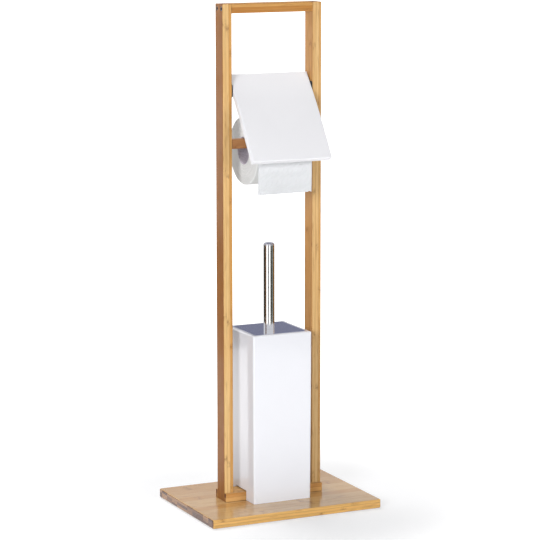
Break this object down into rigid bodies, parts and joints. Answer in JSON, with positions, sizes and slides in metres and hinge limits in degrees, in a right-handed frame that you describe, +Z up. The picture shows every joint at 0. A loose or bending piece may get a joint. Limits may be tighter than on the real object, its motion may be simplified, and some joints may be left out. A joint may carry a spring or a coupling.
{
  "type": "toilet butler",
  "caption": "Free-standing bamboo toilet butler: a hinged cover over a paper roll on a lift-out bar, above a white square holder with a lidded brush.",
  "frame": {"origin": "on the floor under the middle of the base board", "axes": "+Z up, +X along the width to the right, front towards -Y"},
  "size_m": [0.3, 0.22, 0.82],
  "materials": {
    "bamboo": "clear satin lacquer over strip-glued bamboo",
    "white_board": "white lacquered board",
    "white_plastic": "glossy white moulding",
    "lid_steel": "polished stainless sheet",
    "handle_steel": "polished stainless tube",
    "cap_steel": "dark polished cap",
    "zinc_steel": "zinc plated",
    "black_nylon": "black nylon",
    "pad_rubber": "soft anti-slip",
    "cardboard": "grey board",
    "paper": "embossed tissue",
    "hub_plastic": "white moulding",
    "bristle": "white nylon bristles"
  },
  "bodies": {
    "frame": {"base_plate": "bamboo", "foot_pads": "pad_rubber", "base_screws": "zinc_steel", "foot_rail": "bamboo", "left_post": "bamboo", "right_post": "bamboo", "top_bar": "bamboo", "top_bar_screws": "zinc_steel", "cover_bush_left": "black_nylon", "cover_bush_right": "black_nylon", "cover_bush_screws": "zinc_steel"},
    "cover": {"cover_panel": "white_board", "cover_pin_left": "zinc_steel", "cover_pin_right": "zinc_steel"},
    "roll_bar": {"roll_bar": "bamboo", "roll_bar_dowel_left": "bamboo", "roll_bar_dowel_right": "bamboo", "paper_sheet": "paper"},
    "roll": {"roll_core": "cardboard", "roll_paper": "paper"},
    "holder": {"holder_shell": "white_plastic"},
    "brush": {"lid_plate": "lid_steel", "handle_tube": "handle_steel", "handle_cap": "cap_steel", "handle_plug": "zinc_steel", "lid_washer": "pad_rubber", "brush_stem": "zinc_steel", "brush_hub": "hub_plastic", "brush_bristles": "bristle"}
  },
  "joints": [
    {"name": "cover_hinge", "type": "hinge", "parent": "frame", "child": "cover", "pos_m": [0, -0.0054, 0.6888], "axis": [-1, 0, 0], "range_deg": [0, 135]},
    {"name": "roll_bar_slide", "type": "slide", "parent": "frame", "child": "roll_bar", "axis": [0, 0.7071, 0.7071], "range_m": [0, 0.034]},
    {"name": "roll_spin", "type": "hinge", "parent": "roll_bar", "child": "roll", "pos_m": [0, -0.005, 0.586], "axis": [1, 0, 0], "continuous": true},
    {"name": "holder_lift", "type": "slide", "parent": "frame", "child": "holder", "axis": [0, 0, 1], "range_m": [0, 0.02]},
    {"name": "brush_lift", "type": "slide", "parent": "holder", "child": "brush", "axis": [0, 0, 1], "range_m": [0, 0.075]}
  ]
}
